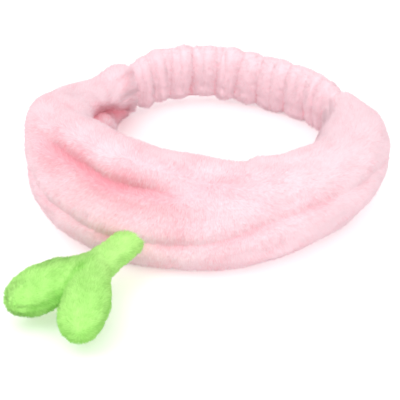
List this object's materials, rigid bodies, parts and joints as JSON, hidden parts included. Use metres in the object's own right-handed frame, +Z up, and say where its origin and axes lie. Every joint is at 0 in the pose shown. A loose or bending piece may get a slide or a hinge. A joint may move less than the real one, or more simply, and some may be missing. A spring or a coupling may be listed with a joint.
{
  "type": "spa headband",
  "caption": "Soft fleece hair band with a wide tube front, a gathered elastic back and a stuffed two-leaf sprout sewn to its lower front seam.",
  "frame": {"origin": "middle of the bounding box in X and Y, on the surface that the headband lies on", "axes": "+Z up through the head opening, -Y towards the fleece front and its sprout, +Y towards the middle of the elastic back, +X to the wearer's side that is on the right seen from the front"},
  "size_m": [0.2078, 0.28, 0.064],
  "materials": {
    "pink_fleece": "deep soft pile, matt",
    "green_fleece": "short soft pile, matt",
    "pink_thread": "twisted polyester thread",
    "green_thread": "twisted polyester thread",
    "white_elastic": "woven, matt",
    "polyester_fibre": "loose fibre fill"
  },
  "bodies": {
    "front_band": {"front_tube": "pink_fleece", "front_seam_thread_left": "pink_thread", "front_seam_thread_right": "pink_thread", "left_join_thread": "pink_thread", "right_join_thread": "pink_thread", "left_elastic_tack": "pink_thread", "right_elastic_tack": "pink_thread", "sprout_tail": "green_fleece", "tail_anchor_thread": "green_thread"},
    "elastic_back": {"back_casing": "pink_fleece", "casing_seam_thread": "pink_thread", "back_elastic": "white_elastic"},
    "sprout_neck": {"stem_neck": "green_fleece"},
    "sprout_stem": {"stem_upper_panel": "green_fleece", "stem_lower_panel": "green_fleece", "stem_stuffing": "polyester_fibre", "stem_left_seam_thread": "green_thread", "stem_right_seam_thread": "green_thread"},
    "left_leaf": {"left_leaf_upper_panel": "green_fleece", "left_leaf_lower_panel": "green_fleece", "left_leaf_stuffing": "polyester_fibre", "left_leaf_seam_thread": "green_thread"},
    "right_leaf": {"right_leaf_upper_panel": "green_fleece", "right_leaf_lower_panel": "green_fleece", "right_leaf_stuffing": "polyester_fibre", "right_leaf_seam_thread": "green_thread"}
  },
  "joints": [
    {"name": "band_stretch", "type": "slide", "parent": "front_band", "child": "elastic_back", "axis": [0, 1, 0], "range_m": [0, 0.05], "stiffness_N_per_m": 120, "deforming": ["back_casing", "back_elastic", "casing_seam_thread"]},
    {"name": "sprout_sway", "type": "hinge", "parent": "front_band", "child": "sprout_neck", "pos_m": [-0.01685, -0.07018, 0.02083], "axis": [0, 0, 1], "range_deg": [-30, 30], "stiffness_Nm_per_rad": 0.02},
    {"name": "sprout_nod", "type": "hinge", "parent": "sprout_neck", "child": "sprout_stem", "pos_m": [-0.01685, -0.07018, 0.02083], "axis": [-0.9397, 0.342, 0], "range_deg": [0, 60], "stiffness_Nm_per_rad": 0.02},
    {"name": "left_leaf_flex", "type": "hinge", "parent": "sprout_stem", "child": "left_leaf", "pos_m": [-0.03648, -0.10028, 0.0211], "axis": [-0.9397, 0.342, 0], "range_deg": [0, 40], "stiffness_Nm_per_rad": 0.01},
    {"name": "right_leaf_flex", "type": "hinge", "parent": "sprout_stem", "child": "right_leaf", "pos_m": [-0.02116, -0.10586, 0.0211], "axis": [-0.9397, 0.342, 0], "range_deg": [0, 40], "stiffness_Nm_per_rad": 0.01}
  ]
}
